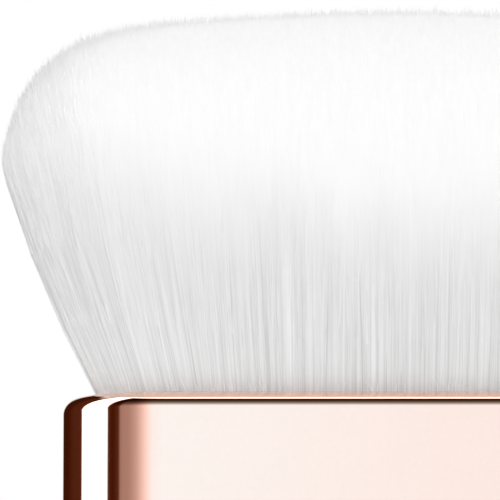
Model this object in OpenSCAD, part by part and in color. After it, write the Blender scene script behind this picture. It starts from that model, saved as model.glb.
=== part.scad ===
// Kabuki makeup brush with a wide, flat head of white filaments in a polished rose gold handle.
// Millimetres. The origin is the middle of the base, +Z points from the base to the bristles,
// X runs along the wide side and Y from front to back.

/* [Handle] */
// Width of the handle, from end to end
handle_w = 50; // [42:0.5:65]
// Depth of the handle, from front to back
handle_d = 15.5; // [14:0.25:22]
// Height of the handle, from the table to the top of its shoulder
handle_h = 38; // [32:0.5:55]

/* [Outer shell] */
// Thickness of the shell's wall and of its turned-in lip
shell_wall = 0.9; // [0.6:0.1:1.2]
// Radius of the rounded shoulder
shoulder_r = 1.2; // [0.5:0.1:1.6]
// Width of the lip, from the outside of the shell to its opening
lip_w = 2.6; // [2.3:0.1:3.4]
// Width of the bevel along the lower edge
foot_bevel = 0.3; // [0.1:0.05:0.6]

/* [Bristle head] */
// Length of the longest bristles above the shoulder
bristle_h = 29; // [24:0.2:42]
// Height above the shoulder at which the ends of the head are widest
end_waist_h = 17.4; // [12:0.2:20]
// Height above the shoulder at which the tips begin on the front and back
side_waist_h = 12; // [8:0.2:16]
// Outward lean of the outer bristles at the shoulder, in mm for each mm of height
flare_lean = 0.564; // [0.3:0.01:0.7]
// How fast that lean straightens, in mm for each square mm
flare_ease = 0.0084; // [0.004:0.0002:0.0095]
// Uneven length of the bristle tips
tip_scatter = 0.25; // [0:0.05:0.6]
// Rows of bristle strands from front to back
strand_rows = 9; // [9:1:11]
// Columns of bristle strands along the straight sides
strand_cols = 30; // [26:1:30]
// Columns of bristle strands in each rounded end
cap_cols = 4; // [4:1:5]

/* [Bristle root] */
// Gap between the bristle root and the lip of the shell
root_gap = 0.1; // [0.05:0.05:0.3]
// Thickness of the slice that the strands grow from
backing_t = 2; // [1:0.1:3]
// Depth of that slice below the top of the shoulder
backing_drop = 0.2; // [0.1:0.05:0.3]
// Height of the bonded root block under the slice
root_block_h = 4.8; // [4:0.1:5.5]
// Thickness of the band crimped round the root
band_t = 0.4; // [0.2:0.05:0.6]
// Height of that band
band_h = 3; // [1.5:0.1:3.8]
// Gap between the band and the wall of the cup
band_gap = 0.15; // [0.1:0.05:0.3]

/* [Bristle cup] */
// Height of the cup that holds the root
cup_h = 11; // [10.5:0.1:14]
// Thickness of the cup's floor
cup_floor = 1.6; // [1:0.1:2.2]

/* [Handle core] */
// Gap between the shell's wall and the parts that slide into it
slide_gap = 0.1; // [0.05:0.05:0.2]
// Thickness of the deck that carries the cup
core_deck = 6; // [5.4:0.2:8]
// Distance from the end of the handle to the pocket for the weight
pocket_end = 7.5; // [7:0.25:10]
// Distance from the side of the handle to that pocket
pocket_side = 2.95; // [2.4:0.05:3.6]

/* [Counterweight] */
// Gap round the weight in its pocket
weight_gap = 0.15; // [0.1:0.05:0.3]
// Width of the bevel along the weight's upper edge
weight_bevel = 0.5; // [0.2:0.1:1]
// Thickness of the foam pad under the weight
foam_t = 1.5; // [0.8:0.1:3]

/* [Base] */
// Thickness of the plug that closes the shell
plug_t = 2.6; // [2.4:0.1:4]
// Height of the plug's spigot in the weight pocket
spigot_h = 1; // [0.6:0.1:2]
// Width of the plug's border round the foot pad
plug_border = 1.6; // [1.2:0.1:2]
// Thickness of the foot pad
pad_t = 1; // [0.8:0.1:1.2]
// Height of the foot pad that stands out of the plug
pad_proud = 0.4; // [0.2:0.1:0.5]
// Gap round the foot pad
pad_gap = 0.1; // [0.05:0.05:0.2]

/* [Screws] */
// Radius of the screws
screw_r = 1; // [0.7:0.05:1.2]
// Radius of the screw heads
head_r = 1.8; // [1.6:0.1:2]
// Height of the screw heads
head_h = 1; // [0.8:0.1:1.1]
// Length of the cup screws below the head
cup_screw_len = 6; // [4:0.5:6.5]
// Length of the base screws below the head
base_screw_len = 8; // [5:0.5:10]
// Distance of the cup screws from the middle
cup_screw_x = 9; // [6:0.5:12]
// Distance of the base screws from the ends of the handle
base_screw_end = 5; // [4.8:0.1:5.2]
// Gap round a screw in its hole
screw_gap = 0.05; // [0.05:0.05:0.1]
// Width of the slot in a screw head
slot_w = 0.5; // [0.3:0.1:0.8]
// Depth of the slot in a screw head
slot_depth = 0.5; // [0.3:0.1:0.6]

/* [Adhesive] */
// Height of the bead of adhesive between core and shell
bead_h = 2.4; // [1:0.1:3]
// Depth of the groove that holds the bead
bead_depth = 0.4; // [0.2:0.1:0.6]
// Distance of the bead from the top of the core
bead_inset = 8; // [3:0.5:9]
// Film left between bonded faces
bond_gap = 0.03; // [0.02:0.01:0.05]

/* [Hidden] */
$fn = 96;

// Every flat section of the handle is two half circles joined by straight sides.
// The line between the centres of the half circles is the spine, which all the sections share.
spine = (handle_w - handle_d) / 2;
shell_r = handle_d / 2;
bore_r = shell_r - shell_wall;
insert_r = bore_r - slide_gap;
root_r = shell_r - lip_w - root_gap;
cavity_r = root_r + band_t + band_gap;
pocket_r = shell_r - pocket_side;
pocket_spine = handle_w / 2 - pocket_end - pocket_r;
pad_pocket_r = insert_r - plug_border;

// Heights, from the shoulder down to the cup and from the table up to the core
cup_top = handle_h - shell_wall;
cup_bottom = cup_top - cup_h;
cup_floor_top = cup_bottom + cup_floor;
bead_bottom = cup_bottom - bead_inset - bead_h;
backing_top = handle_h - backing_drop;
backing_bottom = backing_top - backing_t;
block_bottom = backing_bottom - root_block_h;
plug_bottom = pad_proud;
plug_top = plug_bottom + plug_t;
spigot_top = plug_top + spigot_h;
weight_bottom = spigot_top + foam_t;
pocket_top = cup_bottom - core_deck;
base_head_bottom = pad_t;
base_screw_x = handle_w / 2 - base_screw_end;

// Shape of the head: exponents by which the lean grows towards its ends and the dome drops
// there and at its sides, and the share of its height that it sinks on the way to the ends
end_bias = 3;
dome_power = 11.75;
dome_round = 0.84;
dome_droop = 0.17;
side_round = 0.5;

// Strands: the heights of their two rings, the lower as a share of the lowest tips and the upper
// as a share of the strand's own length, and how far the rings reach from the middle of a cell.
// Each row is shifted a little, so that no straight gap runs through the head.
ring_at = [0.7, 0.96];
ring_reach = [0.42, 0.41];
strand_sides = 4;
strand_points = len(ring_at) * strand_sides + 1;
strand_turn = 225;
strand_wobble = 2;
row_shift = 0.06;
scatter_seed = 7;

rose_gold = [0.93, 0.7, 0.61];
filament_white = [0.97, 0.97, 0.97];
resin_amber = [0.85, 0.72, 0.42];
moulded_grey = [0.3, 0.3, 0.32];
bare_steel = [0.62, 0.63, 0.65];
plain_aluminium = [0.8, 0.81, 0.83];
foam_black = [0.12, 0.12, 0.13];
pad_white = [0.9, 0.88, 0.86];

// A flat section of the given radius round a spine of the given half length
module section(r, half_spine = spine) {
    square([2 * half_spine, 2 * r], center = true);
    for (side = [-1, 1])
        translate([side * half_spine, 0])
            circle(r);
}

// A straight prism of that section
module prism(r, z0, z1, half_spine = spine) {
    translate([0, 0, z0])
        linear_extrude(height = z1 - z0)
            section(r, half_spine);
}

// A wall profile, drawn as distance from the spine against height, taken round the spine
module round_spine(half_spine = spine) {
    for (side = [0, 180])
        rotate([0, 0, side]) {
            translate([half_spine, 0, 0])
                rotate([0, 0, -90])
                    rotate_extrude(angle = 180)
                        children();
            translate([-half_spine, 0, 0])
                rotate([90, 0, 90])
                    linear_extrude(height = 2 * half_spine)
                        children();
        }
}

module shell_profile() {
    difference() {
        union() {
            translate([bore_r, plug_bottom])
                square([shell_wall, handle_h - plug_bottom]);
            translate([shell_r - lip_w, cup_top])
                square([lip_w, shell_wall]);
        }
        difference() {
            translate([shell_r - shoulder_r, handle_h - shoulder_r])
                square(shoulder_r);
            translate([shell_r - shoulder_r, handle_h - shoulder_r])
                circle(shoulder_r);
        }
        polygon([
            [shell_r, plug_bottom],
            [shell_r, plug_bottom + foot_bevel],
            [shell_r - foot_bevel, plug_bottom]
        ]);
    }
}

module outer_shell() {
    color(rose_gold)
        round_spine()
            shell_profile();
}

// The bead of adhesive, or the groove for it where the gap is nothing
module bead(gap) {
    round_spine()
        translate([insert_r - bead_depth + gap, bead_bottom + gap])
            square([bore_r - insert_r + bead_depth - 2 * gap, bead_h - 2 * gap]);
}

module shell_adhesive() {
    color(resin_amber)
        bead(bond_gap);
}

// Outward travel of an outer bristle at height z above the shoulder
function flare(z) = flare_lean * z - flare_ease * z * z;

// Grid coordinates i along the head and j across it, as a point of the root section
function root_point(i, j) =
    let (
        from_middle = i - strand_cols / 2 - cap_cols,
        side = sign(from_middle),
        along = abs(from_middle),
        v = 2 * j / strand_rows - 1,
        h = (along - strand_cols / 2) / cap_cols
    )
    h <= 0
        ? [from_middle * 2 * spine / strand_cols, root_r * v]
        : [side * (spine + root_r * h * sqrt(1 - v * v / 2)), root_r * v * sqrt(1 - h * h / 2)];

// Half the depth of the root section at x
function root_depth(x) =
    abs(x) <= spine ? root_r : sqrt(max(0.01, root_r * root_r - pow(abs(x) - spine, 2)));

// A root point carried out to height z above the shoulder
function flared(p, z) =
    let (e = p[0] / (spine + root_r))
    [
        p[0] + flare(max(0, z)) * e * pow(abs(e), end_bias - 1),
        p[1] * (1 + flare(max(0, z)) / root_r)
    ];

// Height of the tip of the bristle that grows from a root point
function tip_height(p) =
    let (
        e = min(1, abs(p[0]) / (spine + root_r)),
        across = min(1, abs(p[1]) / root_depth(p[0])),
        rise = pow(1 - pow(e, dome_power), dome_round) * (1 - dome_droop * e * e),
        crest = end_waist_h + (bristle_h - end_waist_h) * rise,
        edge = side_waist_h + (end_waist_h - side_waist_h) * e * e
    )
    edge + (crest - edge) * pow(1 - across * across, side_round);

all_cols = strand_cols + 2 * cap_cols;
corner_count = (all_cols + 1) * (strand_rows + 1);
rim_count = 2 * (all_cols + strand_rows);
scatter = rands(-1, 1, 2 * all_cols * strand_rows, scatter_seed);

function corner_index(i, j) = i * (strand_rows + 1) + j;
function cell_index(i, j) = i * strand_rows + j;

// The grid corners round the rim of the backing, anticlockwise from above
function rim_corner(k) =
    k < all_cols ? [k, 0]
    : k < all_cols + strand_rows ? [all_cols, k - all_cols]
    : k < 2 * all_cols + strand_rows ? [2 * all_cols + strand_rows - k, strand_rows]
    : [0, rim_count - k];

// The points of one strand above the cell's corners: rings that stay inside the cell, the upper
// one sloped with the dome, and a tip
function strand(i, j) =
    let (
        mid_i = i + 0.5 + row_shift * (j % 2 == 0 ? 1 : -1),
        mid_j = j + 0.5,
        centre = root_point(i + 0.5, mid_j),
        uneven = tip_scatter * scatter[cell_index(i, j)],
        wobble = strand_wobble * scatter[all_cols * strand_rows + cell_index(i, j)],
        reach = tip_height(centre) + uneven,
        tip = flared(centre, reach)
    )
    [
        for (ring = [0:len(ring_at) - 1], s = [0:strand_sides - 1])
            let (
                angle = strand_turn + wobble + s * 360 / strand_sides,
                corner_reach = ring_reach[ring] * sqrt(2),
                p = root_point(mid_i + corner_reach * cos(angle), mid_j + corner_reach * sin(angle)),
                z = ring_at[ring] * (ring == 0 ? side_waist_h : tip_height(p) + uneven),
                q = flared(p, z)
            )
            [q[0], q[1], handle_h + z],
        [tip[0], tip[1], handle_h + reach]
    ];

function quad(a, b, c, d) = [[a, b, c], [a, c, d]];

// The sides of a strand, from the corners of its cell to its first ring and on to its tip
function strand_faces(i, j, first) =
    let (
        corners = [
            corner_index(i, j),
            corner_index(i + 1, j),
            corner_index(i + 1, j + 1),
            corner_index(i, j + 1)
        ],
        tip = first + strand_points - 1
    )
    [
        for (s = [0:strand_sides - 1])
            let (next = (s + 1) % strand_sides, upper = first + strand_sides)
            each concat(
                quad(corners[s], corners[next], first + next, first + s),
                quad(first + s, first + next, upper + next, upper + s),
                [[upper + s, upper + next, tip]]
            )
    ];

module bristles() {
    strand_start = corner_count;
    rim_start = corner_count + all_cols * strand_rows * strand_points;
    corners = [
        for (i = [0:all_cols], j = [0:strand_rows])
            let (p = root_point(i, j))
            [p[0], p[1], backing_top]
    ];
    strands = [
        for (i = [0:all_cols - 1], j = [0:strand_rows - 1])
            each strand(i, j)
    ];
    rim = [
        for (k = [0:rim_count - 1])
            let (c = rim_corner(k), p = root_point(c[0], c[1]))
            [p[0], p[1], backing_bottom]
    ];
    top_faces = [
        for (i = [0:all_cols - 1], j = [0:strand_rows - 1])
            each strand_faces(i, j, strand_start + cell_index(i, j) * strand_points)
    ];
    side_faces = [
        for (k = [0:rim_count - 1])
            let (
                next = (k + 1) % rim_count,
                here = rim_corner(k),
                there = rim_corner(next)
            )
            each quad(
                rim_start + k,
                rim_start + next,
                corner_index(there[0], there[1]),
                corner_index(here[0], here[1])
            )
    ];
    under_faces = [
        for (k = [1:rim_count - 2])
            [rim_start, rim_start + k + 1, rim_start + k]
    ];
    color(filament_white)
        polyhedron(
            points = concat(corners, strands, rim),
            faces = [
                for (f = concat(top_faces, side_faces, under_faces))
                    [f[2], f[1], f[0]]
            ]
        );
}

module root_block() {
    color(filament_white)
        prism(root_r, block_bottom, backing_bottom);
}

module root_band() {
    band_z = (block_bottom + backing_bottom - band_h) / 2;
    color(plain_aluminium)
        round_spine()
            translate([root_r + bond_gap, band_z])
                square([band_t - bond_gap, band_h]);
}

// A screw with a round head, its seat at z = 0 and its length below
module screw(length) {
    translate([0, 0, -length])
        cylinder(r = screw_r, h = length);
    difference() {
        cylinder(r = head_r, h = head_h);
        translate([-head_r - 1, -slot_w / 2, head_h - slot_depth])
            cube([2 * head_r + 2, slot_w, head_h]);
    }
}

// The clear space that a screw and its head need
module screw_space(length) {
    translate([0, 0, -length - screw_gap])
        cylinder(r = screw_r + screw_gap, h = length + screw_gap + bond_gap);
    cylinder(r = head_r + screw_gap, h = head_h + screw_gap);
}

module at_cup_screws() {
    for (side = [-1, 1])
        translate([side * cup_screw_x, 0, cup_floor_top])
            children();
}

module at_base_screws() {
    for (side = [-1, 1])
        translate([side * base_screw_x, 0, base_head_bottom + head_h])
            mirror([0, 0, 1])
                children();
}

module root_resin() {
    color(resin_amber)
        difference() {
            prism(cavity_r - bond_gap, cup_floor_top, block_bottom);
            at_cup_screws()
                screw_space(cup_screw_len);
        }
}

module bristle_cup() {
    color(moulded_grey)
        difference() {
            prism(insert_r, cup_bottom, cup_top);
            prism(cavity_r, cup_floor_top, cup_top + 1);
            at_cup_screws()
                screw_space(cup_screw_len);
        }
}

module cup_screws() {
    color(bare_steel)
        at_cup_screws()
            screw(cup_screw_len);
}

module handle_core() {
    color(moulded_grey)
        difference() {
            prism(insert_r, plug_top, cup_bottom);
            prism(pocket_r, plug_top - 1, pocket_top, pocket_spine);
            bead(0);
            at_cup_screws()
                screw_space(cup_screw_len);
            at_base_screws()
                screw_space(base_screw_len);
        }
}

module weight_profile() {
    r = pocket_r - weight_gap;
    polygon([
        [0, weight_bottom],
        [r, weight_bottom],
        [r, pocket_top - weight_bevel],
        [r - weight_bevel, pocket_top],
        [0, pocket_top]
    ]);
}

module counterweight() {
    color(bare_steel)
        round_spine(pocket_spine)
            weight_profile();
}

module foam_pad() {
    color(foam_black)
        prism(pocket_r - weight_gap, spigot_top, weight_bottom, pocket_spine);
}

module base_plug() {
    color(rose_gold)
        difference() {
            union() {
                prism(insert_r, plug_bottom, plug_top);
                prism(pocket_r - weight_gap, plug_top, spigot_top, pocket_spine);
            }
            prism(pad_pocket_r, plug_bottom - 1, pad_t);
            at_base_screws()
                screw_space(base_screw_len);
        }
}

module base_screws() {
    color(bare_steel)
        at_base_screws()
            screw(base_screw_len);
}

module foot_pad() {
    color(pad_white)
        prism(pad_pocket_r - pad_gap, 0, pad_t);
}

outer_shell();
shell_adhesive();
bristles();
root_block();
root_band();
root_resin();
bristle_cup();
cup_screws();
handle_core();
counterweight();
foam_pad();
base_plug();
base_screws();
foot_pad();
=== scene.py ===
"""Kabuki makeup brush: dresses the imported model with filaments, polished metal and a studio.

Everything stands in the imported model's frame: metres, +Z from the base to the bristles, X along
the wide side of the handle and Y from front to back. Sizes in this file are in millimetres where
nothing else is said.
"""

import logging
import math
from dataclasses import dataclass, field
from enum import Enum

import bpy
import numpy as np
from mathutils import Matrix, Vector


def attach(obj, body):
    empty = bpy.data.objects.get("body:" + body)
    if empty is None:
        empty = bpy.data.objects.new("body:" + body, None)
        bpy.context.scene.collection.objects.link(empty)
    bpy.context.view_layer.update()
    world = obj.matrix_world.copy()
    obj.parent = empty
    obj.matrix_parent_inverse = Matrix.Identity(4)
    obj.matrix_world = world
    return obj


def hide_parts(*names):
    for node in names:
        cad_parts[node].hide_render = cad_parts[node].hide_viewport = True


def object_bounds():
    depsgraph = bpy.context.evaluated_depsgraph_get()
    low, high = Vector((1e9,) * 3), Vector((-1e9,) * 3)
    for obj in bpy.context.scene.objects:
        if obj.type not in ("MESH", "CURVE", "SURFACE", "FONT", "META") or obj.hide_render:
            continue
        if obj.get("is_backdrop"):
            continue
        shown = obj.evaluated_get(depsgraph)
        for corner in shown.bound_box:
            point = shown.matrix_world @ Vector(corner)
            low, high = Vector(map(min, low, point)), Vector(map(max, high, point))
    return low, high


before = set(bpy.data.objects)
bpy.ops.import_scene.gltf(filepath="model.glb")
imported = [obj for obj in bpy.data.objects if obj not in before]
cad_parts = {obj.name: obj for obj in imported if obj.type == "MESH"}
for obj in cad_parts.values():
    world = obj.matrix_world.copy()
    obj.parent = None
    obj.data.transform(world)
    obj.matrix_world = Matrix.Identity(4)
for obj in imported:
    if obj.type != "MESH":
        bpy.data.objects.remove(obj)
CAD_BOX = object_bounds()

LOG = logging.getLogger("kabuki_brush")
MM = 0.001
BODY = "root"
BAKE_MAP = "OFBake"

MAP_MARGIN = 0.01

Pair = tuple[float, float]
Triple = tuple[float, float, float]
Colour = Triple


class Effect(Enum):
    """The shader node groups that materials share."""

    FIBRE_COLOUR = "fibre_colour"
    GRAIN = "surface_grain"
    DRAWN_LINES = "drawn_lines"
    EDGE_WEAR = "edge_wear"


class Side(Enum):
    """The front and back of the head, by the sign of Y."""

    FRONT = -1
    BACK = 1


# Node trees


class Graph:
    """Adds nodes to one node tree and joins them."""

    def __init__(self, tree: bpy.types.NodeTree) -> None:
        """Keeps the tree that the nodes go into."""
        self.tree = tree

    def add(self, kind: str, **settings: object) -> bpy.types.Node:
        """Adds a node and sets its properties.

        Args:
            kind: The node's type name after ShaderNode.
            **settings: Properties to set on the node.

        Returns:
            The new node.
        """
        node = self.tree.nodes.new("ShaderNode" + kind)
        for name, value in settings.items():
            setattr(node, name, value)
        return node

    def join(self, source: bpy.types.NodeSocket, target: bpy.types.NodeSocket) -> None:
        """Joins an output socket to an input socket."""
        self.tree.links.new(source, target)

    def feed(self, value: object, target: bpy.types.NodeSocket) -> None:
        """Feeds an input from a socket, or sets it to a plain value.

        Args:
            value: An output socket, or a number, colour or vector.
            target: The input socket.
        """
        if isinstance(value, bpy.types.NodeSocket):
            self.join(value, target)
        elif target.type == "RGBA" and len(value) == 3:
            target.default_value = (*value, 1.0)
        else:
            target.default_value = value

    def math(self, operation: str, *values: object) -> bpy.types.NodeSocket:
        """Adds a Math node.

        Args:
            operation: The name of the operation.
            *values: What feeds its inputs, in order.

        Returns:
            The result's socket.
        """
        node = self.add("Math", operation=operation)
        for value, target in zip(values, node.inputs):
            self.feed(value, target)
        return node.outputs[0]

    def centred(self, value: object, strength: object) -> bpy.types.NodeSocket:
        """Multiplies a value's distance from a half by a strength."""
        return self.math("MULTIPLY", self.math("SUBTRACT", value, 0.5), strength)

    def remap(
        self, value: object, low: float, high: float, to_low: float = 0.0, to_high: float = 1.0
    ) -> bpy.types.NodeSocket:
        """Maps a value smoothly from one range to another, without going past its ends.

        Args:
            value: What is mapped.
            low: The value that becomes to_low.
            high: The value that becomes to_high.
            to_low: The result at and below low.
            to_high: The result at and above high.

        Returns:
            The result's socket.
        """
        node = self.add("MapRange", interpolation_type="SMOOTHSTEP")
        for number, target in zip((low, high, to_low, to_high), node.inputs[1:5]):
            target.default_value = number
        self.feed(value, node.inputs[0])
        return node.outputs[0]

    def mix(self, share: object, first: object, second: object, way: str = "MIX") -> bpy.types.NodeSocket:
        """Mixes two colours.

        Args:
            share: How much of the second colour shows.
            first: The colour at a share of 0.
            second: The colour at a share of 1.
            way: The name of the blend.

        Returns:
            The mixed colour's socket.
        """
        node = self.add("Mix", data_type="RGBA", blend_type=way)
        self.feed(share, node.inputs["Factor"])
        inputs = [s for s in node.inputs if s.type == "RGBA"]
        for value, target in zip((first, second), inputs):
            self.feed(value, target)
        return next(s for s in node.outputs if s.type == "RGBA")

    def shaded(self, colour: object, level: bpy.types.NodeSocket) -> bpy.types.NodeSocket:
        """Multiplies a colour by a grey level.

        Args:
            colour: The colour.
            level: The socket of the level.

        Returns:
            The new colour's socket.
        """
        grey = self.add("CombineColor")
        for target in grey.inputs:
            self.join(level, target)
        return self.mix(1.0, colour, grey.outputs[0], "MULTIPLY")

    def ramp(self, value: object, stops: list[tuple[float, Colour]]) -> bpy.types.NodeSocket:
        """Adds a Color Ramp.

        Args:
            value: What runs along the ramp.
            stops: Each stop's place from 0 to 1 and its colour.

        Returns:
            The ramp's colour socket.
        """
        node = self.add("ValToRGB")
        elements = node.color_ramp.elements
        while len(elements) < len(stops):
            elements.new(1.0)
        for element, (place, colour) in zip(elements, stops):
            element.position = place
            element.color = (*colour, 1.0)
        self.feed(value, node.inputs[0])
        return node.outputs[0]

    def noise(
        self, place: object, scale: object = 1.0, detail: float = 2.0, rough: float = 0.5
    ) -> bpy.types.NodeSocket:
        """Adds a Noise Texture.

        Args:
            place: The coordinates that it reads.
            scale: How fine it is.
            detail: Its number of octaves.
            rough: How strong its finer octaves are.

        Returns:
            The socket of its value.
        """
        node = self.add("TexNoise")
        for name, value in (("Vector", place), ("Scale", scale), ("Detail", detail), ("Roughness", rough)):
            self.feed(value, node.inputs[name])
        return node.outputs[0]

    def stretched(self, place: object, scale: object) -> bpy.types.NodeSocket:
        """Multiplies coordinates by a different factor along each axis.

        Args:
            place: The coordinates.
            scale: The three factors, as numbers or as a socket.

        Returns:
            The socket of the new coordinates.
        """
        node = self.add("VectorMath", operation="MULTIPLY")
        self.feed(place, node.inputs[0])
        self.feed(scale, node.inputs[1])
        return node.outputs[0]


@dataclass(frozen=True)
class FibrePattern:
    """How filaments change colour along them, and from one to the next.

    Scales are features in a millimetre, across the filaments twice and then along them. The starts
    and ends are shares of the way from the root to where filaments are palest. The darker root and
    middle are painted shade. The streaks, random tone with painted shade between filaments, are
    deepest at the root.
    """

    drift_scale: Triple = (0.35, 0.35, 0.05)
    drift: float = 0.25
    root_end: float = 0.3
    pale_start: float = 0.45
    fine_scale: Triple = (9.0, 9.0, 0.12)
    broad_scale: Triple = (2.6, 2.6, 0.04)
    clumps: float = 1.2
    fade_start: float = 0.1
    fade_end: float = 0.85
    faded: float = 0.16


class EffectLibrary:
    """Builds each shared node group once and places it in materials."""

    def __init__(self) -> None:
        """Builds the groups."""
        self.groups: dict[Effect, bpy.types.NodeTree] = {
            Effect.FIBRE_COLOUR: self.fibre_colour(FibrePattern()),
            Effect.GRAIN: self.grain(),
            Effect.DRAWN_LINES: self.drawn_lines(),
            Effect.EDGE_WEAR: self.edge_wear(),
        }

    @staticmethod
    def start(
        effect: Effect, inputs: dict[str, object], outputs: dict[str, str]
    ) -> tuple[Graph, bpy.types.NodeOutputs, bpy.types.NodeInputs]:
        """Starts a node group with its named sockets.

        Args:
            effect: Which effect the group holds.
            inputs: Each input's value: a number, a vector of three or a colour of four numbers.
            outputs: Each output's kind, Float or Color.

        Returns:
            The group's graph, the sockets that it is given and the sockets of its result.
        """
        tree = bpy.data.node_groups.new(effect.value, "ShaderNodeTree")
        kinds = {1: "Float", 3: "Vector", 4: "Color"}
        for name, value in inputs.items():
            kind = "NodeSocket" + kinds[np.size(value)]
            tree.interface.new_socket(name=name, in_out="INPUT", socket_type=kind).default_value = value
        for name, kind in outputs.items():
            tree.interface.new_socket(name=name, in_out="OUTPUT", socket_type="NodeSocket" + kind)
        given, result = tree.nodes.new("NodeGroupInput"), tree.nodes.new("NodeGroupOutput")
        return Graph(tree), given.outputs, result.inputs

    def fibre_colour(self, pattern: FibrePattern) -> bpy.types.NodeTree:
        """Builds the shading of filaments from their roots to their tips.

        Args:
            pattern: How the colour changes.

        Returns:
            The group. Its colours go from the painted shade of the root and middle to the pale tip, and
            streaks of random tone and painted shade between filaments vary them.
        """
        g, given, result = self.start(
            Effect.FIBRE_COLOUR,
            {
                "Along": 0.5,
                "Tone": 0.5,
                "Place": (0.0, 0.0, 0.0),
                "Root Colour": (0.4, 0.4, 0.4, 1.0),
                "Middle Colour": (0.7, 0.7, 0.7, 1.0),
                "Tip Colour": (0.9, 0.9, 0.9, 1.0),
                "Streaks": 0.1,
            },
            {"Colour": "Color", "Height": "Float"},
        )
        drift = g.noise(g.stretched(given["Place"], pattern.drift_scale))
        along = g.math("ADD", given["Along"], g.centred(drift, pattern.drift))
        # Painted shade: the root and middle colours darken the filaments below their pale tips.
        low = g.remap(along, 0.0, pattern.root_end)
        lower = g.mix(low, given["Root Colour"], given["Middle Colour"])
        plain = g.mix(g.remap(along, pattern.pale_start, 1.0), lower, given["Tip Colour"])
        fine = g.noise(g.stretched(given["Place"], pattern.fine_scale), detail=3.0, rough=0.65)
        broad = g.noise(g.stretched(given["Place"], pattern.broad_scale))
        # Streaks: random tone and painted shade between filaments, deepest at the root.
        uneven = g.math("SUBTRACT", g.math("ADD", fine, given["Tone"]), 1.0)
        both = g.math("ADD", g.math("ABSOLUTE", uneven), g.centred(broad, pattern.clumps))
        fade = g.remap(along, pattern.fade_start, pattern.fade_end, 1.0, pattern.faded)
        depth = g.math("MULTIPLY", given["Streaks"], fade)
        streak_tone_and_shade = g.math("SUBTRACT", 1.0, g.math("MULTIPLY", both, depth))
        g.join(g.shaded(plain, streak_tone_and_shade), result["Colour"])
        g.join(fine, result["Height"])
        return g.tree

    def grain(self) -> bpy.types.NodeTree:
        """Builds a fine all-over grain.

        Returns:
            The group. It varies a colour a little and gives a height and a roughness.
        """
        g, given, result = self.start(
            Effect.GRAIN,
            {"Colour": (0.5, 0.5, 0.5, 1.0), "Scale": 4000.0, "Depth": 0.1, "Roughness": 0.5},
            {"Colour": "Color", "Height": "Float", "Roughness": "Float"},
        )
        fine_share, broad_scale = 0.6, 160.0
        place = g.add("TexCoord").outputs["Object"]
        fine = g.noise(place, given["Scale"], detail=3.0, rough=0.6)
        broad = g.math("MULTIPLY", g.noise(place, broad_scale), 1.0 - fine_share)
        shade = g.math("ADD", g.math("MULTIPLY", fine, fine_share), broad)
        around = g.centred(shade, given["Depth"])
        level = g.math("ADD", 1.0, g.math("MULTIPLY", around, 2.0))
        g.join(g.shaded(given["Colour"], level), result["Colour"])
        g.join(fine, result["Height"])
        g.join(g.math("ADD", given["Roughness"], around), result["Roughness"])
        return g.tree

    def drawn_lines(self) -> bpy.types.NodeTree:
        """Builds the fine lines that drawing, rolling, turning or brushing leaves in metal.

        Returns:
            The group. Its mask and height run in lines across the axis with the largest scale.
        """
        g, given, result = self.start(
            Effect.DRAWN_LINES,
            {"Line Scale": (2000.0, 2000.0, 20.0), "Contrast": 1.0},
            {"Mask": "Float", "Height": "Float"},
        )
        place = g.stretched(g.add("TexCoord").outputs["Object"], given["Line Scale"])
        lines = g.noise(place, detail=4.0, rough=0.6)
        clamped = g.add("Clamp")
        g.join(g.math("ADD", g.centred(lines, given["Contrast"]), 0.5), clamped.inputs[0])
        g.join(clamped.outputs[0], result["Mask"])
        g.join(lines, result["Height"])
        return g.tree

    def edge_wear(self) -> bpy.types.NodeTree:
        """Builds a mask of the edges and corners that rub bare first.

        Returns:
            The group.
        """
        g, given, result = self.start(Effect.EDGE_WEAR, {"Amount": 0.5}, {"Mask": "Float"})
        edge = g.remap(g.add("NewGeometry").outputs["Pointiness"], low=0.52, high=0.6)
        patches = g.noise(g.add("TexCoord").outputs["Object"], 900.0, detail=3.0)
        patchy = g.remap(patches, low=0.35, high=0.65, to_low=0.2)
        worn = g.math("MULTIPLY", g.math("MULTIPLY", edge, patchy), given["Amount"])
        g.join(worn, result["Mask"])
        return g.tree

    def place(self, g: Graph, effect: Effect, **inputs: object) -> bpy.types.NodeOutputs:
        """Places a group in a material.

        Args:
            g: The material's graph.
            effect: Which group.
            **inputs: What feeds its inputs, by name with _ for a space.

        Returns:
            The group's output sockets.
        """
        node = g.add("Group", node_tree=self.groups[effect])
        for name, value in inputs.items():
            g.feed(value, node.inputs[name.replace("_", " ")])
        return node.outputs


# Finishes


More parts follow.
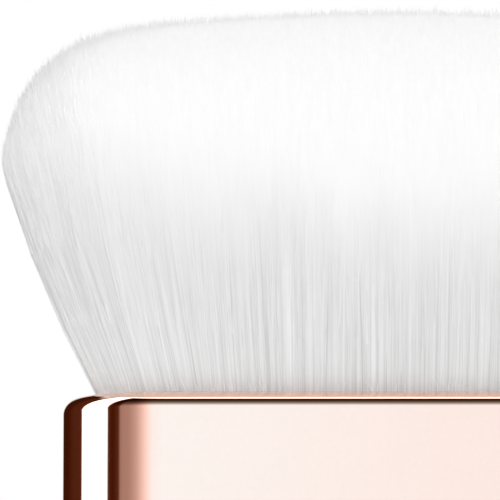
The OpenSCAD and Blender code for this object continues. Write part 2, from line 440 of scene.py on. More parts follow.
@dataclass(frozen=True)
class Finish:
    """A material: its name, the record's slot that it stands for and its main values."""

    name: str
    slot: str
    colour: Colour
    roughness: float = 0.5

    def material(self, effects: EffectLibrary) -> bpy.types.Material:
        """Builds the material.

        Args:
            effects: The shared node groups.

        Returns:
            The new material.
        """
        material = bpy.data.materials.new(self.name)
        material.use_nodes = True
        material.diffuse_color = (*self.colour, 1.0)
        g = Graph(material.node_tree)
        shader = g.tree.nodes["Principled BSDF"]
        shader.inputs["Base Color"].default_value = (*self.colour, 1.0)
        shader.inputs["Roughness"].default_value = self.roughness
        self.paint(g, shader, effects)
        return material

    def paint(self, g: Graph, shader: bpy.types.Node, effects: EffectLibrary) -> None:
        """Joins the finish's own nodes to the shader. Each finish has its own."""
        raise NotImplementedError

    def rubbed(
        self, g: Graph, effects: EffectLibrary, base: object, wear: float, gain: float, lift: float
    ) -> bpy.types.NodeSocket:
        """Makes the colour lighter on the edges and corners that rub bare.

        Args:
            g: The material's graph.
            effects: The shared node groups.
            base: The colour elsewhere.
            wear: How far the edges are rubbed.
            gain: What the finish's colour is multiplied by there.
            lift: What is added to it there.

        Returns:
            The colour's socket.
        """
        edges = effects.place(g, Effect.EDGE_WEAR, Amount=wear)
        light = tuple(min(1.0, c * gain + lift) for c in self.colour)
        return g.mix(edges["Mask"], base, light)

    @staticmethod
    def bump(g: Graph, shader: bpy.types.Node, height: object, depth: float, strength: float) -> None:
        """Gives the shader a fine relief.

        Args:
            g: The material's graph.
            shader: The material's Principled node.
            height: The relief's height, from 0 to 1.
            depth: The relief's full depth in mm.
            strength: How much of it shows.
        """
        node = g.add("Bump")
        node.inputs["Strength"].default_value = strength
        node.inputs["Distance"].default_value = depth * MM
        g.feed(height, node.inputs["Height"])
        g.join(node.outputs[0], shader.inputs["Normal"])


@dataclass(frozen=True)
class FilamentFinish(Finish):
    """Fine synthetic filaments: painted shade at the root and middle, bright and soft at the tips."""

    # The root and middle colours are painted shade, darker than the filaments' own colour at the tips.
    root: Colour = (0.4, 0.4, 0.4)
    middle: Colour = (0.7, 0.7, 0.7)
    streaks: float = 0.2
    relief: float = 0.0
    relief_depth: float = 0.12
    specular: float = 0.3
    sheen: float = 0.35

    def paint(self, g: Graph, shader: bpy.types.Node, effects: EffectLibrary) -> None:
        """Colours the filaments by the attributes that their mesh carries.

        Args:
            g: The material's graph.
            shader: The material's Principled node.
            effects: The shared node groups.
        """
        fibre = effects.place(
            g,
            Effect.FIBRE_COLOUR,
            Along=g.add("Attribute", attribute_name="along").outputs["Fac"],
            Tone=g.add("Attribute", attribute_name="tone").outputs["Fac"],
            Place=g.add("Attribute", attribute_name="place").outputs["Vector"],
            Root_Colour=self.root,
            Middle_Colour=self.middle,
            Tip_Colour=self.colour,
            Streaks=self.streaks,
        )
        g.join(fibre["Colour"], shader.inputs["Base Color"])
        shader.inputs["Specular IOR Level"].default_value = self.specular
        shader.inputs["Sheen Weight"].default_value = self.sheen
        if self.relief:
            self.bump(g, shader, fibre["Height"], self.relief_depth, self.relief)


@dataclass(frozen=True)
class PolishedFinish(Finish):
    """Polished or plated metal with faint drawing lines."""

    line_scale: Triple = (900.0, 900.0, 12.0)
    line_contrast: float = 1.4
    shine_change: float = 0.03
    relief: float = 0.05
    relief_depth: float = 0.02
    wear: float = 0.2

    def paint(self, g: Graph, shader: bpy.types.Node, effects: EffectLibrary) -> None:
        """Varies the shine and colour along the lines and lightens the edges.

        Args:
            g: The material's graph.
            shader: The material's Principled node.
            effects: The shared node groups.
        """
        shader.inputs["Metallic"].default_value = 1.0
        lines = effects.place(
            g, Effect.DRAWN_LINES, Line_Scale=self.line_scale, Contrast=self.line_contrast
        )
        grain = effects.place(g, Effect.GRAIN, Colour=self.colour, Scale=2500.0, Depth=0.03)
        colour = self.rubbed(g, effects, grain["Colour"], self.wear, gain=1.04, lift=0.02)
        g.join(colour, shader.inputs["Base Color"])
        change = self.shine_change / 2
        shine = g.remap(lines["Mask"], 0.0, 1.0, self.roughness - change, self.roughness + change)
        g.join(shine, shader.inputs["Roughness"])
        self.bump(g, shader, lines["Height"], self.relief_depth, self.relief)


@dataclass(frozen=True)
class MouldedFinish(Finish):
    """Moulded plastic, foam, rubber or cured glue with an all-over grain."""

    grain_scale: float = 3000.0
    grain_depth: float = 0.12
    relief: float = 0.3
    relief_depth: float = 0.05
    wear: float = 0.35
    coat: float = 0.0

    def paint(self, g: Graph, shader: bpy.types.Node, effects: EffectLibrary) -> None:
        """Adds the grain and the paler edges.

        Args:
            g: The material's graph.
            shader: The material's Principled node.
            effects: The shared node groups.
        """
        grain = effects.place(
            g,
            Effect.GRAIN,
            Colour=self.colour,
            Scale=self.grain_scale,
            Depth=self.grain_depth,
            Roughness=self.roughness,
        )
        colour = self.rubbed(g, effects, grain["Colour"], self.wear, gain=1.15, lift=0.03)
        g.join(colour, shader.inputs["Base Color"])
        g.join(grain["Roughness"], shader.inputs["Roughness"])
        shader.inputs["Coat Weight"].default_value = self.coat
        self.bump(g, shader, grain["Height"], self.relief_depth, self.relief)


ROSE_GOLD = PolishedFinish(
    "polished_rose_gold", "rose_gold_metal", (0.94, 0.66, 0.55), 0.05, shine_change=0.02
)
PLATED_PLASTIC = PolishedFinish("plated_rose_gold", "plated_plastic", (0.92, 0.65, 0.54), 0.12)
ROLLED_BAND = PolishedFinish(
    "rolled_aluminium",
    "bare_aluminium",
    (0.8, 0.81, 0.83),
    0.3,
    line_scale=(40.0, 40.0, 9000.0),
    shine_change=0.1,
)
SAWN_STEEL = PolishedFinish(
    "sawn_steel",
    "steel",
    (0.56, 0.57, 0.59),
    0.35,
    line_scale=(60.0, 6000.0, 6000.0),
    shine_change=0.12,
    relief=0.3,
    wear=0.5,
)
SCREW_STEEL = PolishedFinish(
    "plated_screw_steel",
    "steel",
    (0.66, 0.66, 0.68),
    0.25,
    line_scale=(4000.0, 4000.0, 400.0),
    shine_change=0.08,
    wear=0.6,
)
# The fine and packed filaments' root and middle colours are painted shade under their pale tip colour.
FINE_FILAMENT = FilamentFinish(
    "fine_filament",
    "filament",
    (0.97, 0.97, 0.97),
    0.6,
    root=(0.84, 0.847, 0.85),
    middle=(0.815, 0.816, 0.817),
    streaks=0.4,
)
PACKED_FILAMENT = FilamentFinish(
    "packed_filament",
    "filament",
    (0.95, 0.95, 0.95),
    0.7,
    root=(0.80, 0.806, 0.809),
    middle=(0.79, 0.791, 0.792),
    streaks=0.4,
    relief=0.2,
)
STUB_FILAMENT = FilamentFinish(
    "stub_filament",
    "filament",
    (0.97, 0.97, 0.97),
    0.5,
    root=(0.95, 0.96, 0.97),
    middle=(0.97, 0.97, 0.97),
    streaks=0.1,
)
BONDED_FILAMENT = MouldedFinish(
    "bonded_filament",
    "bonded_filament",
    (0.9, 0.88, 0.82),
    0.35,
    grain_scale=9000.0,
    grain_depth=0.3,
    relief=0.5,
    coat=0.4,
)
AMBER_RESIN = MouldedFinish(
    "amber_resin",
    "resin",
    (0.78, 0.58, 0.24),
    0.12,
    grain_scale=400.0,
    grain_depth=0.15,
    relief=0.1,
    coat=0.8,
)
CURED_GLUE = MouldedFinish(
    "cured_glue", "adhesive", (0.82, 0.74, 0.55), 0.45, grain_scale=700.0, grain_depth=0.2, relief=0.4
)
GREY_PLASTIC = MouldedFinish("grey_moulding", "moulded_plastic", (0.11, 0.11, 0.125), 0.5)
CLOSED_FOAM = MouldedFinish(
    "closed_foam", "foam", (0.03, 0.03, 0.034), 0.85, grain_scale=5000.0, grain_depth=0.5, relief=0.9
)
SOFT_PAD = MouldedFinish(
    "soft_pad", "soft_pad", (0.83, 0.8, 0.77), 0.75, grain_scale=6000.0, grain_depth=0.2, relief=0.6
)


class Wardrobe:
    """Makes each finish's material once and puts it on pieces."""

    def __init__(self, effects: EffectLibrary) -> None:
        """Keeps the shared node groups and the materials that are made."""
        self.effects = effects
        self.made: dict[str, bpy.types.Material] = {}

    def dress(self, piece: bpy.types.Object, finish: Finish) -> bpy.types.Object:
        """Gives a piece its finish.

        Args:
            piece: The mesh object.
            finish: The finish that it gets.

        Returns:
            The same object.
        """
        if finish.name not in self.made:
            self.made[finish.name] = finish.material(self.effects)
        piece.data.materials.clear()
        piece.data.materials.append(self.made[finish.name])
        return piece


# Meshes


@dataclass
class Sheet:
    """Points and faces of a mesh, in mm, with what its material and bake read."""

    points: np.ndarray
    quads: np.ndarray
    triangles: np.ndarray
    quad_uv: np.ndarray
    triangle_uv: np.ndarray
    marks: dict[str, np.ndarray] = field(default_factory=dict)
    normals: np.ndarray | None = None

    def build(self, name: str) -> bpy.types.Object:
        """Makes the Blender object and lets it ride on the brush's body.

        Args:
            name: The piece's name.

        Returns:
            The new object.
        """
        mesh = bpy.data.meshes.new(name)
        corners = np.concatenate([self.quads.ravel(), self.triangles.ravel()]).astype(np.int32)
        quad_starts = np.arange(len(self.quads)) * 4
        triangle_starts = len(self.quads) * 4 + np.arange(len(self.triangles)) * 3
        starts = np.concatenate([quad_starts, triangle_starts]).astype(np.int32)
        mesh.vertices.add(len(self.points))
        mesh.vertices.foreach_set("co", (self.points * MM).astype(np.float32).ravel())
        mesh.loops.add(len(corners))
        mesh.loops.foreach_set("vertex_index", corners)
        mesh.polygons.add(len(starts))
        mesh.polygons.foreach_set("loop_start", starts)
        mesh.polygons.foreach_set("use_smooth", np.ones(len(starts), bool))
        layer = mesh.uv_layers.new(name=BAKE_MAP)
        places = np.concatenate([self.quad_uv.reshape(-1, 2), self.triangle_uv.reshape(-1, 2)])
        layer.data.foreach_set("uv", places.astype(np.float32).ravel())
        for label, values in self.marks.items():
            kind, part = ("FLOAT", "value") if values.ndim == 1 else ("FLOAT_VECTOR", "vector")
            attribute = mesh.attributes.new(label, kind, "POINT")
            attribute.data.foreach_set(part, values.astype(np.float32).ravel())
        mesh.update(calc_edges=True)
        if self.normals is not None:
            mesh.normals_split_custom_set_from_vertices(self.normals.tolist())
        piece = bpy.data.objects.new(name, mesh)
        bpy.context.scene.collection.objects.link(piece)
        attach(piece, BODY)
        return piece


def report(piece: bpy.types.Object) -> None:
    """Logs a piece's name, faces and size."""
    size = " x ".join(f"{value / MM:.1f}" for value in piece.dimensions)
    LOG.info("%s: %d faces, %s mm", piece.name, len(piece.data.polygons), size)


def unit(vectors: np.ndarray) -> np.ndarray:
    """Scales vectors to a length of 1."""
    return vectors / np.maximum(np.linalg.norm(vectors, axis=-1, keepdims=True), 1e-9)


@dataclass(frozen=True)
class Stadium:
    """A line round the spine of the handle: two straight sides joined by two half circles."""

    half_spine: float = 17.25
    radius: float = 5.05

    @property
    def length(self) -> float:
        """The length of the line, in mm."""
        return 4 * self.half_spine + 2 * math.pi * self.radius

    def walk(self, distance: np.ndarray) -> tuple[np.ndarray, np.ndarray]:
        """Finds where the line is after a distance, from the middle of the front towards +X.

        Args:
            distance: Distances along the line, in mm.

        Returns:
            The points of the spine beside it, and the outward directions, as rows of x and y.
        """
        s = np.mod(distance, self.length)
        half, bend, quarter = self.half_spine, math.pi * self.radius, math.pi / 2
        marks = np.cumsum([half, bend, 2 * half, bend])
        where = [s < mark for mark in marks]
        x = np.select(where, [s, half, half - (s - marks[1]), -half], s - self.length)
        right = (s - marks[0]) / self.radius - quarter
        left = (s - marks[2]) / self.radius + quarter
        turn = np.select(where, [-quarter, right, quarter, left], -quarter)
        return np.stack([x, np.zeros_like(x)], 1), np.stack([np.cos(turn), np.sin(turn)], 1)

    def steps(self, bend_steps: int, side_steps: int) -> np.ndarray:
        """Spreads distances along the line, closer together round the bends.

        Args:
            bend_steps: How many in each half circle.
            side_steps: How many in each straight side.

        Returns:
            The distances, in mm, without the last, which is the first again.
        """
        half, bend = self.half_spine, math.pi * self.radius
        parts = (
            (0, half, side_steps // 2),
            (half, bend, bend_steps),
            (half + bend, 2 * half, side_steps),
            (3 * half + bend, bend, bend_steps),
            (3 * half + 2 * bend, half, side_steps // 2),
        )
        return np.concatenate([a + np.linspace(0, span, many, endpoint=False) for a, span, many in parts])


def grid_faces(rows: int, columns: int, closed: bool = False) -> tuple[np.ndarray, np.ndarray]:
    """Joins rows of points, each of which runs round a ring, into quads.

    Args:
        rows: How many rings.
        columns: How many points in each.
        closed: Whether the last ring joins the first.

    Returns:
        The quads, and the row and column of each of their corners.
    """
    row = np.arange(rows if closed else rows - 1)
    r, c = (m.ravel() for m in np.meshgrid(row, np.arange(columns), indexing="ij"))
    places = np.stack([[r, c], [r, c + 1], [r + 1, c + 1], [r + 1, c]]).transpose(2, 0, 1)
    quads = (places[:, :, 0] % rows) * columns + places[:, :, 1] % columns
    return quads, places


def run_of(steps: np.ndarray) -> np.ndarray:
    """The distance run at each point, from 0, given the lengths between them."""
    return np.concatenate([[0], np.cumsum(steps)])


# Handle


@dataclass
class PolishedShell:
    """The drawn rose gold shell, with its rounded shoulder and turned-in lip."""

    line: Stadium = Stadium(17.25, 7.75)
    wall: float = 0.9
    top: float = 38.0
    bottom: float = 0.4
    shoulder_r: float = 1.2
    lip_w: float = 2.6
    bevel: float = 0.3
    edge_r: float = 0.12
    bend_steps: int = 120
    side_steps: int = 16
    arc_steps: int = 20

    def profile(self) -> tuple[np.ndarray, np.ndarray]:
        """Draws the wall as distance from the spine against height, with every corner rounded.

        Returns:
            The points of the closed profile and its outward normals.
        """
        outer, bore = self.line.radius, self.line.radius - self.wall
        lip = outer - self.lip_w
        corners = [
            (bore, self.bottom, self.edge_r, 4),
            (outer - self.bevel, self.bottom, self.edge_r, 4),
            (outer, self.bottom + self.bevel, self.edge_r, 4),
            (outer, self.top, self.shoulder_r, self.arc_steps),
            (lip, self.top, self.edge_r, 5),
            (lip, self.top - self.wall, self.edge_r, 4),
            (bore, self.top - self.wall, self.edge_r, 3),
        ]
        points, normals = [], []
        for k, (x, y, r, steps) in enumerate(corners):
            here = np.array([x, y])
            before = unit(np.array(corners[k - 1][:2]) - here)
            after = unit(np.array(corners[(k + 1) % len(corners)][:2]) - here)
            is_hollow = before[0] * after[1] - before[1] * after[0] > 0
            half = math.acos(float(np.clip(before @ after, -1, 1))) / 2
            sweep = math.pi - 2 * half
            centre = here + unit(before + after) * r / math.sin(half)
            start = here + before * r / math.tan(half) - centre
            finish = here + after * r / math.tan(half) - centre
            for t in np.linspace(0, 1, steps + 1):
                arm = unit(math.sin((1 - t) * sweep) * start + math.sin(t * sweep) * finish)
                points.append(centre + arm * r)
                normals.append(-arm if is_hollow else arm)
        return np.array(points), np.array(normals)

    def build(self) -> bpy.types.Object:
        """Takes the profile round the handle.

        Returns:
            The shell.
        """
        profile, slopes = self.profile()
        steps = self.line.steps(self.bend_steps, self.side_steps)
        spine, out = self.line.walk(steps)
        points, normals = (np.empty((len(profile), len(steps), 3)) for _ in range(2))
        points[:, :, :2] = spine[None] + out[None] * profile[:, None, :1]
        points[:, :, 2] = profile[:, 1:2]
        normals[:, :, :2] = out[None] * slopes[:, None, :1]
        normals[:, :, 2] = slopes[:, 1:2]
        quads, places = grid_faces(len(profile), len(steps), closed=True)
        run = run_of(np.linalg.norm(np.diff(profile, axis=0, append=profile[:1]), axis=1))
        around = np.append(steps, self.line.length)
        uv = np.stack([around[places[:, :, 1]], run[places[:, :, 0]]], 2) / self.line.length
        uv = uv * (1 - MAP_MARGIN)
        sheet = Sheet(
            points.reshape(-1, 3),
            quads,
            np.empty((0, 3), int),
            uv,
            np.empty((0, 3, 2)),
            normals=normals.reshape(-1, 3),
        )
        return sheet.build("polished_shell")

    def dress(self, wardrobe: Wardrobe) -> None:
        """Builds the shell in place of its CAD node and finishes it.

        Args:
            wardrobe: Makes the materials.
        """
        shell = wardrobe.dress(self.build(), ROSE_GOLD)
        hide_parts("outer_shell")
        report(shell)


@dataclass
class HandleInside:
    """The CAD pieces inside the handle and under it, which keep their shapes."""

    finishes: tuple[tuple[str, Finish], ...] = (
        ("shell_adhesive", CURED_GLUE),
        ("root_block", BONDED_FILAMENT),
        ("root_band", ROLLED_BAND),
        ("root_resin", AMBER_RESIN),
        ("bristle_cup", GREY_PLASTIC),
        ("cup_screws", SCREW_STEEL),
        ("handle_core", GREY_PLASTIC),
        ("counterweight", SAWN_STEEL),
        ("foam_pad", CLOSED_FOAM),
        ("base_plug", PLATED_PLASTIC),
        ("base_screws", SCREW_STEEL),
        ("foot_pad", SOFT_PAD),
    )

    def dress(self, wardrobe: Wardrobe) -> None:
        """Finishes each CAD piece with the wardrobe's materials."""
        for name, finish in self.finishes:
            report(wardrobe.dress(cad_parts[name], finish))


# Bristles


@dataclass(frozen=True)
class HeadShape:
    """Where each filament grows, how it leans and how long it is."""

    root: Stadium = Stadium(17.25, 5.05)
    rim: float = 38.0
    tallest: float = 29.1
    end_waist: float = 17.5
    side_waist: float = 12.0
    lean: float = 0.569
    ease: float = 0.009
    end_bias: float = 3.0
    dome_power: float = 11.75
    dome_round: float = 0.84
    dome_droop: float = 0.15
    side_round: float = 0.5
    # pale_share: how far past the wall's top the filaments' painted shade reaches, as a share.
    pale_share: float = 1.35
    wall_tilt: float = 0.45
    inner_share: float = 0.985
    sample_step: float = 0.02

    @property
    def reach(self) -> float:
        """Half the length of the root, in mm."""
        return self.root.half_spine + self.root.radius

    def flare(self, z: np.ndarray) -> np.ndarray:
        """How far an outer filament leans out at heights above the shoulder, in mm."""
        z = np.maximum(z, 0)
        return self.lean * z - self.ease * z * z

    def carry(self, p: np.ndarray, z: np.ndarray) -> np.ndarray:
        """Carries root points out and up to a height above the shoulder.

        Args:
            p: Root points, as rows of x and y.
            z: A height for each, in mm.

        Returns:
            The points in space, as rows of x, y and z.
        """
        e = p[:, 0] / self.reach
        x = p[:, 0] + self.flare(z) * e * np.abs(e) ** (self.end_bias - 1)
        y = p[:, 1] * (1 + self.flare(z) / self.root.radius)
        return np.stack([x, y, self.rim + z], 1)

    def depth(self, x: np.ndarray) -> np.ndarray:
        """Half the depth of the root at x, in mm."""
        past = np.maximum(np.abs(x) - self.root.half_spine, 0)
        return np.sqrt(np.maximum(0.01, self.root.radius**2 - past**2))

    def end_share(self, p: np.ndarray) -> np.ndarray:
        """How near root points are to the ends, from 0 in the middle to 1."""
        return np.minimum(1, np.abs(p[:, 0]) / self.reach)

    def edge(self, e: np.ndarray) -> np.ndarray:
        """Height of the wall's top, where the dome starts, from the middle (0) to the ends (1)."""
        return self.side_waist + (self.end_waist - self.side_waist) * e * e

    def along(self, p: np.ndarray, z: np.ndarray) -> np.ndarray:
        """How far up points of filaments are, from 0 at the root to 1 where they are palest."""
        return np.clip(z / (self.edge(self.end_share(p)) * self.pale_share), 0, 1)

    def tip(self, p: np.ndarray) -> np.ndarray:
        """Height above the shoulder of the tips that grow from root points.

        Args:
            p: Root points, as rows of x and y.

        Returns:
            The heights, in mm.
        """
        e = self.end_share(p)
        across = np.minimum(1, np.abs(p[:, 1]) / self.depth(p[:, 0]))
        rise = (1 - e**self.dome_power) ** self.dome_round * (1 - self.dome_droop * e * e)
        crest = self.end_waist + (self.tallest - self.end_waist) * rise
        edge = self.edge(e)
        return edge + (crest - edge) * (1 - across**2) ** self.side_round

    def dome_slope(self, p: np.ndarray) -> np.ndarray:
        """Normals of the dome over root points, as long as the area that each stands for.

        Args:
            p: Root points, as rows of x and y.

        Returns:
            The normals, as rows of x, y and z.
        """
        inner, step = p * self.inner_share, self.sample_step
        near = (inner, inner + (step, 0), inner + (0, step))
        here, right, behind = (self.carry(q, self.tip(q)) for q in near)
        return np.cross((right - here) / step, (behind - here) / step)

    def dome_normal(self, p: np.ndarray) -> np.ndarray:
        """The dome's outward directions over root points."""
        return unit(self.dome_slope(p))

    def wall_normal(self, out: np.ndarray) -> np.ndarray:
        """The wall's outward directions, from those of the root's outline, as rows of x and y."""
        return unit(np.column_stack([out, np.full(len(out), -self.lean * self.wall_tilt)]))


@dataclass
class PackedBody:
    """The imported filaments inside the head, as one closed form just below the tips."""

    shape: HeadShape
    shrink: float = 0.975
    inset: float = 0.4
    below: float = 0.15
    bend_steps: int = 96
    side_steps: int = 120
    wall_rows: int = 26
    dome_rows: int = 44

    def top(self, p: np.ndarray) -> np.ndarray:
        """Height of the body's top above the shoulder, over root points inside it, in mm."""
        return self.shape.tip(p / self.shrink) - self.inset

    def build(self) -> bpy.types.Object:
        """Builds the wall of the body and its dome.

        Returns:
            The body.
        """
        root = self.shape.root
        steps = root.steps(self.bend_steps, self.side_steps)
        spine, out = root.walk(steps)
        outline = (spine + out * root.radius) * self.shrink
        whole = self.top(outline) + self.below
        rings = [(outline, -self.below + whole * t) for t in np.linspace(0, 1, self.wall_rows)]
        for turn in np.linspace(0, math.pi / 2, self.dome_rows + 1)[1:]:
            p = (spine + out * root.radius * math.cos(turn)) * self.shrink
            rings.append((p, self.top(p)))
        points = np.array([self.shape.carry(p, z) for p, z in rings])
        along = np.array([self.shape.along(p, z) for p, z in rings])
        place = np.array([np.column_stack(ring) for ring in rings])
        quads, places = grid_faces(len(rings), len(steps))
        run = run_of(np.linalg.norm(np.diff(points, axis=0), axis=2).mean(1))
        around = np.append(steps, root.length)
        uv = np.stack([around[places[:, :, 1]] / root.length, run[places[:, :, 0]] / run[-1]], 2)
        base, middle = np.arange(len(steps)), along.size
        under = np.stack([np.full(len(steps), middle), (base + 1) % len(steps), base], 1)
        sheet = Sheet(
            np.vstack([points.reshape(-1, 3), [[0, 0, self.shape.rim - self.below]]]),
            quads,
            under,
            uv * (1 - 2 * MAP_MARGIN) + MAP_MARGIN,
            np.full((len(steps), 3, 2), MAP_MARGIN / 2),
            {
                "along": np.append(along.ravel(), 0),
                "tone": np.full(middle + 1, 0.5),
                "place": np.vstack([place.reshape(-1, 3), [[0, 0, 0]]]),
            },
        )
        return sheet.build("packed_filaments")


@dataclass
class Lock:
    """Filaments of one piece: their roots, where each starts and ends above the shoulder, and the
    wall's outward direction beside it.

    Filaments of the wall are held at the root, and the others at the tip, so that every tip ends
    on the dome.
    """

    roots: np.ndarray
    starts: np.ndarray
    ends: np.ndarray
    sides: np.ndarray
    is_held_at_tip: bool = False


@dataclass
class FilamentField:
    """Grows filaments as fine three-sided spikes that follow the head's flare.

    One side of each spike faces outward. Its shading normals follow the head's surface, turned to
    the front and back by glow, because thin pale filaments pass the light on to their neighbours.
    """

    shape: HeadShape
    radius: float = 0.05
    thickness: Pair = (0.8, 1.15)
    sides: int = 3
    clump: float = 0.2
    clump_waves: tuple[float, ...] = (7.0, 4.1, 2.6, 1.7)
    clump_layers: int = 3
    stray: float = 0.12
    spread: float = 0.04
    twist: float = 0.35
    tone_spread: float = 0.22
    narrow_from: float = 0.5
    tip_share: float = 0.25
    tip_power: float = 0.6
    sway_height: float = 20.0
    sway_power: float = 1.3
    domed_from: float = 0.25
    domed_power: float = 1.5
    soft: float = 0.9
    glow: Triple = (0.32, 1.0, 0.5)
    seed: int = 11

    def clumped(self, p: np.ndarray) -> np.ndarray:
        """A smooth sideways drift, so that neighbouring filaments lean together.

        Args:
            p: Root points, as rows of x and y.

        Returns:
            The drift of each tip, as rows of x and y in mm at the root.
        """
        chance = np.random.default_rng(self.seed)
        drift = np.zeros_like(p)
        for wave in np.repeat(self.clump_waves, self.clump_layers):
            turn = chance.uniform(0, 2 * math.pi)
            way = np.array([math.cos(turn), math.sin(turn)]) * 2 * math.pi / wave
            phase = chance.uniform(0, 2 * math.pi, 2)
            drift += wave / self.clump_waves[0] * np.sin((p @ way)[:, None] + phase)
        return drift * self.clump / 2

    def sway(self, z: np.ndarray) -> np.ndarray:
        """The share of its full lean that a filament has at height z."""
        return (np.maximum(z, 0) / self.sway_height) ** self.sway_power

    def grow(
        self, name: str, lock: Lock, levels: np.ndarray, chance: np.random.Generator
    ) -> bpy.types.Object:
        """Builds one piece of filaments.

        Args:
            name: The piece's name.
            lock: Where the filaments grow.
            levels: The heights of a filament's rings, as shares of its length.
            chance: The seeded source of small differences.

        Returns:
            The piece.
        """
        count, rings, sides = len(lock.roots), len(levels), self.sides
        each = rings * sides + 1
        ahead = unit(lock.sides[:, :2])
        drift = self.clumped(lock.roots) + chance.normal(0, self.stray, (count, 2))
        drift -= ahead * (drift * ahead).sum(1)[:, None]
        held = self.sway(lock.ends)
        if not lock.is_held_at_tip:
            drift += ahead * np.abs(chance.normal(0, self.spread, count))[:, None]
            held = np.zeros(count)
        thick = self.radius * chance.uniform(*self.thickness, count)
        tone = np.clip(0.5 + chance.normal(0, self.tone_spread, count), 0, 1)
        turn = np.arctan2(ahead[:, 1], ahead[:, 0]) + math.pi / sides + chance.normal(0, self.twist, count)
        whole = np.maximum(self.shape.tip(lock.roots), 1)
        domed = self.shape.dome_normal(lock.roots)
        points, normals, place = (np.empty((count, each, 3)) for _ in range(3))
        along = np.empty((count, each))
        place[:, :, :2] = lock.roots[:, None]
        for k, level in enumerate([*levels, 1.0]):
            z = lock.starts + (lock.ends - lock.starts) * level
            centre = self.shape.carry(lock.roots + drift * (self.sway(z) - held)[:, None], z)
            narrowing = np.clip((1 - level) / (1 - self.narrow_from), 0, 1) ** self.tip_power
            taper = narrowing * (1 - self.tip_share) + self.tip_share
            arm = thick * taper if k < rings else np.zeros(count)
            span = slice(k * sides, min((k + 1) * sides, each))
            angle = turn[:, None] + np.arange(span.stop - span.start) * 2 * math.pi / sides
            out = np.stack([np.cos(angle), np.sin(angle), np.zeros_like(angle)], 2)
            high = np.clip((z / whole - self.domed_from) / (1 - self.domed_from), 0, 1)
            high = high[:, None] ** self.domed_power
            facing = unit((lock.sides * (1 - high) + domed * high) * self.glow)
            points[:, span] = centre[:, None] + arm[:, None, None] * out
            normals[:, span] = unit(facing[:, None] * self.soft + out * (1 - self.soft))
            along[:, span] = self.shape.along(lock.roots, z)[:, None]
            place[:, span, 2] = z[:, None]
        quad = grid_faces(rings, sides)[0]
        last = (rings - 1) * sides + np.arange(sides)
        point = np.stack([last, np.roll(last, -1), np.full(sides, rings * sides)], 1)
        offset = (np.arange(count) * each)[:, None, None]
        height = np.append(np.repeat(levels, sides), 1.0)
        sheet = Sheet(
            points.reshape(-1, 3),
            (offset + quad).reshape(-1, 4),
            (offset + point).reshape(-1, 3),
            self.cells(count, quad, height),
            self.cells(count, point, height),
            {"along": along.ravel(), "tone": np.repeat(tone, each), "place": place.reshape(-1, 3)},
            normals.reshape(-1, 3),
        )
        return sheet.build(name)

    @staticmethod
    def cells(count: int, faces: np.ndarray, height: np.ndarray) -> np.ndarray:
        """Lays each filament out in a cell of its own in the bake's map.

        Args:
            count: How many filaments there are.
            faces: The faces of one filament.
            height: The height of each of its points, from 0 to 1.

        Returns:
            The map's places for the corners of all the faces.
        """
        left, right, bottom, tall, slender = 0.2, 0.8, 0.06, 0.88, 4
        columns = math.ceil(math.sqrt(count * slender))
        rows = math.ceil(count / columns)
        cell = np.stack([np.arange(count) % columns, np.arange(count) // columns], 1)
        u = np.linspace(left, right, faces.shape[1])[None, :].repeat(len(faces), 0)
        inner = np.stack([u, bottom + tall * height[faces]], 2)
        return (cell[:, None, None] + inner[None]) / np.array([columns, rows])


